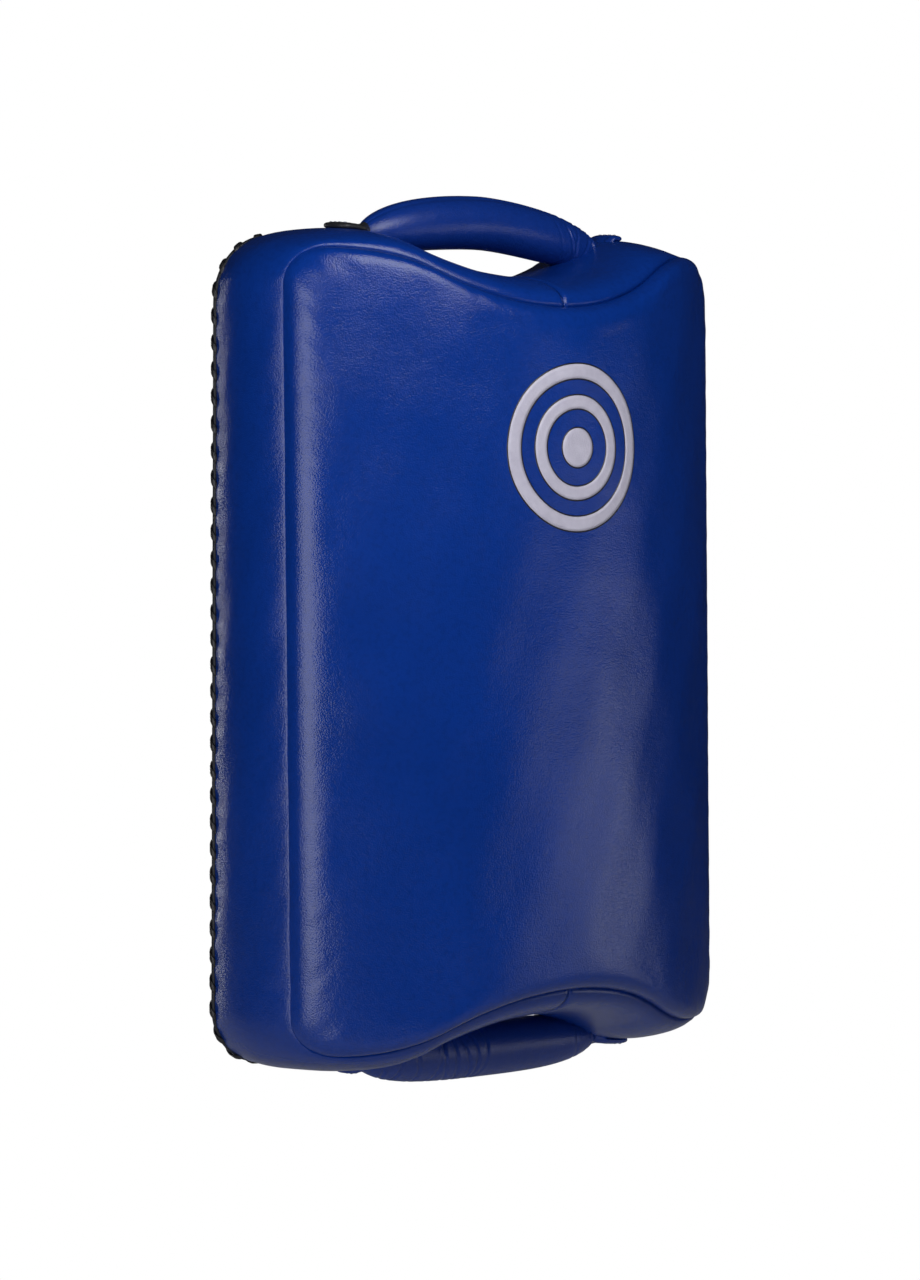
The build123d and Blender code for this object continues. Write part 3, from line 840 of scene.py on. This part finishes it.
def sewn_anchors():
    """Webbing patches under the leather, where the four tongues are sewn through it."""
    xs = np.linspace(*ANCHOR_SPAN, 13)
    ys = np.linspace(HANDLE_Y - ANCHOR_HALF, HANDLE_Y + ANCHOR_HALF, 9)
    rows, columns = len(xs), len(ys)
    index = np.arange(rows * columns).reshape(rows, columns)
    rim = [*index[0], *index[1:, -1], *index[-1, -2::-1], *index[-2:0:-1, 0]]
    points, faces = [], []
    for side in (-1, 1):
        for end in (-1, 1):
            low = len(points)
            for under in ANCHOR_UNDER:
                start = len(points)
                points += [(side * x, y, end * (shoulder_height(side * x, y, end) - under))
                           for x in xs for y in ys]
                faces += grid_faces(rows, columns, start=start)
            faces += [tuple(int(i) for i in (low + a, low + b, start + b, start + a))
                      for a, b in zip(rim, rim[1:] + rim[:1])]
    obj = mesh_object("handle_anchors", points, faces, WEBBING)
    return finish_piece(obj, "shield", ("handle_anchor_patches",))


sewn_anchors()
for end_name, end, creases in (("top", 1, TOP_CREASES), ("bottom", -1, BOTTOM_CREASES)):
    body = f"{end_name}_handle"
    roll = rolled(f"{end_name}_roll", end, creases, 0.0, HANDLE_LEATHER)
    finish_piece(roll, body, (f"{body}_cover",))
    stuffing = rolled(f"{end_name}_stuffing", end, (), STUFFING_INSET, SOFT_FOAM, 40, 24)
    finish_piece(stuffing, body, (f"{body}_foam",))
    core_web(f"{end_name}_web", f"{body}_web", body, end)
    for side_name, side in (("left", -1), ("right", 1)):
        tab(f"{end_name}_{side_name}_tongue", f"{end_name}_{side_name}_tab", side, end)
        tab_stitches(f"{end_name}_{side_name}_stitches", side, end)


# ---------------------------------------------------------------- target mark
MARK_Z = 155.0
MARK_RINGS = ((64.0, 53.0), (40.0, 30.0), (15.0, 0.0))
MARK_EDGE = 1.1  # width of the dark line round each ring
MARK_SUNK = 0.6  # how far its underside reaches into the leather


def mark_band(outer, inner, proud):
    """Closed ring of ink that lies on the strike face."""
    sides = 144
    radii = np.linspace(inner, outer, max(4, int((outer - inner) / 2.5)) + 1)
    points = []
    for lift in (proud, -MARK_SUNK):
        for r in radii:
            for c in range(sides):
                turn = 2 * pi * c / sides
                x, z = r * sin(turn), MARK_Z + r * cos(turn)
                points.append((x, face_height(x, z) - lift, z))
    rows = len(radii)
    faces = grid_faces(rows, sides, closed=True)
    faces += grid_faces(rows, sides, start=rows * sides, closed=True)
    for row in (0, rows - 1):
        if radii[row] > 0:
            a, b = row * sides, (rows + row) * sides
            faces += [(a + c, a + (c + 1) % sides, b + (c + 1) % sides, b + c)
                      for c in range(sides)]
    return points, faces


def target_mark():
    """Three white rings, each with a thin dark outline."""
    for name, grow, proud, material in (("target_outline", MARK_EDGE, 0.12, BLACK_INK),
                                        ("target_rings", 0.0, 0.22, WHITE_INK)):
        points, faces = [], []
        for outer, inner in MARK_RINGS:
            more, quads = mark_band(outer + grow, max(0.0, inner - grow), proud)
            faces += [tuple(len(points) + i for i in quad) for quad in quads]
            points += more
        obj = mesh_object(name, points, faces, material)
        replaced = ("target_mark",) if name == "target_rings" else ()
        finish_piece(obj, "shield", replaced)


target_mark()


# ---------------------------------------------------------------- forearm straps
def arch(radius, degrees):
    """Plan point (x, y) on the straps' arch, at an angle to the right of its crown."""
    turn = radians(degrees)
    return np.array((radius * sin(turn), ARCH_Y + radius * cos(turn)))


def arch_run(radius, start, end, count):
    """Plan path along the arch."""
    return [arch(radius, a) for a in np.linspace(start, end, count)]


def foot_run(side):
    """Plan path of a strap's sewn end: flat on its patch, then a bend up into the arch."""
    flat_y = PATCH[3] + WEB / 2
    lift = 52.0  # degrees from the crown where the bend ends
    top = arch(ARCH_R, lift)
    slope = np.array((-cos(radians(lift)), sin(radians(lift))))
    start = np.array((132.0, flat_y))
    bend = []
    for t in np.linspace(0, 1, 16):
        a = (2 * t ** 3 - 3 * t ** 2 + 1) * start + (3 * t ** 2 - 2 * t ** 3) * top
        a = a + (t ** 3 - 2 * t ** 2 + t) * np.array((-26.0, 0)) + (t ** 3 - t ** 2) * slope * 26
        bend.append(a)
    path = [np.array((x, flat_y)) for x in np.linspace(FOOT_TIP, 134, 9)] + bend
    return [p * (side, 1) for p in path]


def turn_run(bar, opens):
    """Half turn of strap round a ring bar, from the inside of the arch to its outside."""
    centre = arch(BAR_R, bar)
    turn = radians(bar)
    out = np.array((sin(turn), cos(turn)))
    along = np.array((cos(turn), -sin(turn))) * -opens
    return [centre + (-out * cos(a) + along * sin(a)) * TURN_R
            for a in np.linspace(0.1, pi - 0.1, 14)]


def ribbon(name, path, z, half, thick, material, crown=0.0, tip=False):
    """A strap of rounded section swept along a path in plan; crown thickens its middle."""
    path = np.asarray(path, float)
    ahead = np.gradient(path, axis=0)
    ahead /= np.linalg.norm(ahead, axis=1)[:, None]
    normal = np.stack([-ahead[:, 1], ahead[:, 0]], 1)
    steps = np.concatenate([[0], np.cumsum(np.linalg.norm(np.diff(path, axis=0), axis=1))])
    across = 20
    share = np.concatenate([np.linspace(-1, 1, across), np.linspace(1, -1, across)])
    face = np.concatenate([np.ones(across), -np.ones(across)])
    points = []
    for p, n, s in zip(path, normal, steps):
        from_end = min(s, steps[-1] - s)
        close = min(1.0, (max(from_end, 0.0) / (thick * 0.8)) ** 0.5) if from_end < thick else 1
        narrow = 1.0
        if tip and steps[-1] - s < half * 0.45:
            narrow = 0.72 + 0.28 * np.sqrt(max(0.0, 1 - (1 - (steps[-1] - s) / half / 0.45) ** 2))
        for v, f in zip(share, face):
            edge = (1 - abs(v) ** 14) ** 0.5
            swell = crown * (1 - abs(v) ** 3) * min(1.0, from_end / 9)
            wave = 0.12 * sin(s / 5.3 + v * 2) * abs(v) ** 3
            height = f * (thick / 2 * (0.15 + 0.85 * close) * edge + swell) + wave
            points.append((p[0] + n[0] * height, p[1] + n[1] * height, z + v * half * narrow))
    return mesh_object(name, points, capped_faces(len(path), len(share)), material)


def patch(name, node, side, z):
    """Leather patch with rounded corners, sewn flat on the back."""
    out, half_x, half_z, thick = PATCH
    corner = 8.0
    rim = []
    for k, (sx, sz) in enumerate(((1, 1), (1, -1), (-1, -1), (-1, 1))):
        for a in np.linspace(0, pi / 2, 9):
            turn = a + k * pi / 2
            rim.append((sx * (half_x - corner) + corner * sin(turn),
                        sz * (half_z - corner) + corner * cos(turn)))
    rings, count = [], len(rim)
    for grow, y in ((0.0, -0.6), (0.0, thick * 0.55), (-0.35, thick * 0.9), (-1.2, thick * 1.04),
                    (-3.4, thick * 0.92), (-4.2, thick * 0.9), (-5.4, thick * 1.0),
                    (-12, thick * 1.0), (-24, thick)):
        ring = np.array(rim) * (1 + grow / np.array((half_x, half_z)))
        rings.append(np.column_stack([side * out + ring[:, 0], np.full(count, y),
                                      z + ring[:, 1]]))
    faces = capped_faces(len(rings), count)
    obj = mesh_object(name, np.concatenate(rings), faces, BACK_LEATHER)
    return finish_piece(obj, "shield", (node,))


def patch_stitches(name, side, z):
    """Border of the patch, and a box with a cross on the strap's end."""
    out, half_x, half_z, thick = PATCH
    y = thick * 0.92
    bx, bz = half_x - 3.8, half_z - 3.8
    box = [(side * out + sx * bx, y, z + sz * bz)
           for sx, sz in ((-1, -1), (1, -1), (1, 1), (-1, 1), (-1, -1))]
    runs = [(box[i:i + 2], (0, 1, 0)) for i in range(4)]
    y = thick + WEB - 0.15
    x0, x1, dz = 136.0, 156.0, STRAP_HALF - 5
    spots = [(side * x0, y, z - dz), (side * x1, y, z - dz), (side * x1, y, z + dz),
             (side * x0, y, z + dz)]
    for a, b in ((0, 1), (1, 2), (2, 3), (3, 0), (0, 2), (1, 3)):
        runs.append(((spots[a], spots[b]), (0, 1, 0)))
    return stitches(name, runs, BLACK_THREAD, "shield")


def strap_edge_stitches(name, z, body):
    """Two rows of stitches along the outer face of the strap's web."""
    start, end = -47, -28
    path = arch_run(ARCH_R + WEB / 2 - 0.1, start, end, 12)
    outwards = arch(1.0, (start + end) / 2) - (0, ARCH_Y)
    runs = [([(*p, z + dz) for p in path], (*outwards, 0))
            for dz in (-STRAP_HALF + 4, STRAP_HALF - 4)]
    return stitches(name, runs, BLACK_THREAD, body)


for strap_name, z in STRAPS:
    body, flap = f"{strap_name}_strap", f"{strap_name}_strap_flap"
    for side_name, side in (("left", -1), ("right", 1)):
        patch(f"{strap_name}_{side_name}_sewn_patch", f"{strap_name}_{side_name}_patch", side, z)
        patch_stitches(f"{strap_name}_{side_name}_patch_stitches", side, z)

    web_path = foot_run(-1) + arch_run(ARCH_R, -50, CROWN_BAR - 1, 70) + turn_run(CROWN_BAR, -1)
    web = ribbon(f"{strap_name}_web", web_path, z, STRAP_HALF, WEB, STRAP_LEATHER)
    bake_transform(web)
    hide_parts(f"{strap_name}_strap_web", f"{strap_name}_left_foot")

    keeper_path = (foot_run(1) + arch_run(ARCH_R, 50, FOOT_BAR + 1, 14)
                   + turn_run(FOOT_BAR, 1) + arch_run(TAIL_R, FOOT_BAR + 1, 46, 10))
    keeper = ribbon(f"{strap_name}_keeper", keeper_path, z, STRAP_HALF, WEB, STRAP_LEATHER)
    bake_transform(keeper)
    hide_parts(f"{strap_name}_strap_keeper", f"{strap_name}_right_foot")

    lining = ribbon(f"{strap_name}_lining", arch_run(ARCH_R - WEB / 2 - 3, -38, 18, 60), z,
                    STRAP_HALF + 4, 4.6, LINING, crown=1.1)
    finish_piece(lining, body, (f"{strap_name}_strap_pad",))
    loop = ribbon(f"{strap_name}_loop_tape", arch_run(ARCH_R + WEB / 2 + 0.9, -26, 23, 50), z,
                  STRAP_HALF - 2, 1.8, LOOP_TAPE)
    finish_piece(loop, body, (f"{strap_name}_loop_patch",))
    strap_edge_stitches(f"{strap_name}_strap_stitches", z, body)

    tail = ribbon(f"{strap_name}_tail", arch_run(TAIL_R, CROWN_BAR - 0.5, -6, 50), z,
                  STRAP_HALF, WEB, STRAP_LEATHER, tip=True)
    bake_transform(tail)
    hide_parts(f"{strap_name}_strap_tail")
    hook = ribbon(f"{strap_name}_hook_tape", arch_run(TAIL_R - WEB / 2 - 0.9, 21, -2, 30), z,
                  STRAP_HALF - 2, 1.6, HOOK_TAPE)
    finish_piece(hook, flap, (f"{strap_name}_hook_patch",))


# ---------------------------------------------------------------- CAD nodes that stay
for node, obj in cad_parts.items():
    if node.endswith("strap_ring"):
        obj.data.materials.clear()
        obj.data.materials.append(STEEL)


# ---------------------------------------------------------------- camera, light, stage
AIM = Vector((0, -0.166, 0))
AZIMUTH, RISE, ROLL = radians(39.5), radians(3.45), radians(0.33)
DISTANCE = 3.575
ASIDE, DOWN = 0.0822, -0.0069  # how far the camera stands off the line to its aim
LENS = 130.7
FLOOR_Z = -0.62


def add_camera():
    back = Vector((-sin(AZIMUTH) * cos(RISE), -cos(AZIMUTH) * cos(RISE), sin(RISE)))
    right = Vector((cos(AZIMUTH), -sin(AZIMUTH), 0))
    up = back.cross(right)
    rolled_right = right * cos(ROLL) + up * sin(ROLL)
    rolled_up = up * cos(ROLL) - right * sin(ROLL)
    camera = bpy.data.objects.new("camera", bpy.data.cameras.new("camera"))
    camera.data.sensor_fit = "VERTICAL"
    camera.data.sensor_height = 36
    camera.data.lens = LENS
    place = AIM + back * DISTANCE - rolled_right * ASIDE - rolled_up * DOWN
    turned = Matrix((rolled_right, rolled_up, back)).transposed()
    camera.matrix_world = Matrix.Translation(place) @ turned.to_4x4()
    bpy.context.scene.collection.objects.link(camera)
    bpy.context.scene.camera = camera


def softbox(name, azimuth, height, distance, size, power, aim=(0, -0.1, 0)):
    """Area light at an azimuth (0 in front of the face, positive to the right), facing aim."""
    light = bpy.data.lights.new(name, "AREA")
    light.shape = "RECTANGLE"
    light.size, light.size_y = size
    light.energy = power
    obj = bpy.data.objects.new(name, light)
    turn = radians(azimuth)
    place = Vector((distance * sin(turn), -distance * cos(turn), height))
    obj.location = place
    obj.rotation_euler = (Vector(aim) - place).to_track_quat("-Z", "Y").to_euler()
    bpy.context.scene.collection.objects.link(obj)
    return obj


def add_stage():
    """A pale floor, white to the camera so that it meets the backdrop without an edge."""
    material, nodes, links, shader = new_material("stage")
    shader.inputs["Base Color"].default_value = (0.85, 0.85, 0.86, 1)
    shader.inputs["Roughness"].default_value = 0.9
    shine = nodes.new("ShaderNodeEmission")
    path = nodes.new("ShaderNodeLightPath")
    mix = nodes.new("ShaderNodeMixShader")
    links.new(path.outputs["Is Camera Ray"], mix.inputs["Fac"])
    links.new(shader.outputs["BSDF"], mix.inputs[1])
    links.new(shine.outputs["Emission"], mix.inputs[2])
    links.new(mix.outputs["Shader"], nodes["Material Output"].inputs["Surface"])
    half = 6.0
    corners = [(-half, -half, FLOOR_Z), (half, -half, FLOOR_Z), (half, half, FLOOR_Z),
               (-half, half, FLOOR_Z)]
    mesh = bpy.data.meshes.new("floor")
    mesh.from_pydata(corners, [], [(0, 1, 2, 3)])
    floor = bpy.data.objects.new("floor", mesh)
    mesh.materials.append(material)
    bpy.context.scene.collection.objects.link(floor)


def add_world(strength):
    """White backdrop behind the object, and a dim even light from all round."""
    world = bpy.data.worlds.new("studio")
    bpy.context.scene.world = world
    world.use_nodes = True
    nodes, links = world.node_tree.nodes, world.node_tree.links
    dim = nodes["Background"]
    dim.inputs["Color"].default_value = (0.9, 0.93, 1, 1)
    dim.inputs["Strength"].default_value = strength
    white = nodes.new("ShaderNodeBackground")
    white.inputs["Color"].default_value = (1, 1, 1, 1)
    path = nodes.new("ShaderNodeLightPath")
    mix = nodes.new("ShaderNodeMixShader")
    links.new(path.outputs["Is Camera Ray"], mix.inputs["Fac"])
    links.new(dim.outputs["Background"], mix.inputs[1])
    links.new(white.outputs["Background"], mix.inputs[2])
    links.new(mix.outputs["Shader"], nodes["World Output"].inputs["Surface"])


add_camera()
add_stage()
add_world(0.012)
softbox("edge_strip", -65, -0.1, 2.2, (1.5, 1.5), 20)
softbox("low_broad", 40, -0.45, 2.0, (1.7, 1.0), 4.5)
softbox("low_edge", 56, -0.45, 2.0, (0.45, 1.0), 0.9)
softbox("key", -16, 0.74, 0.88, (0.72, 0.66), 6.9, aim=(0, -0.1, 0.12))
softbox("rear", 165, -0.25, 2.4, (1.4, 0.8), 22)
softbox("rim_strip", 192, 0.0, 2.4, (0.15, 1.4), 3)
bpy.context.scene.view_settings.view_transform = "Standard"
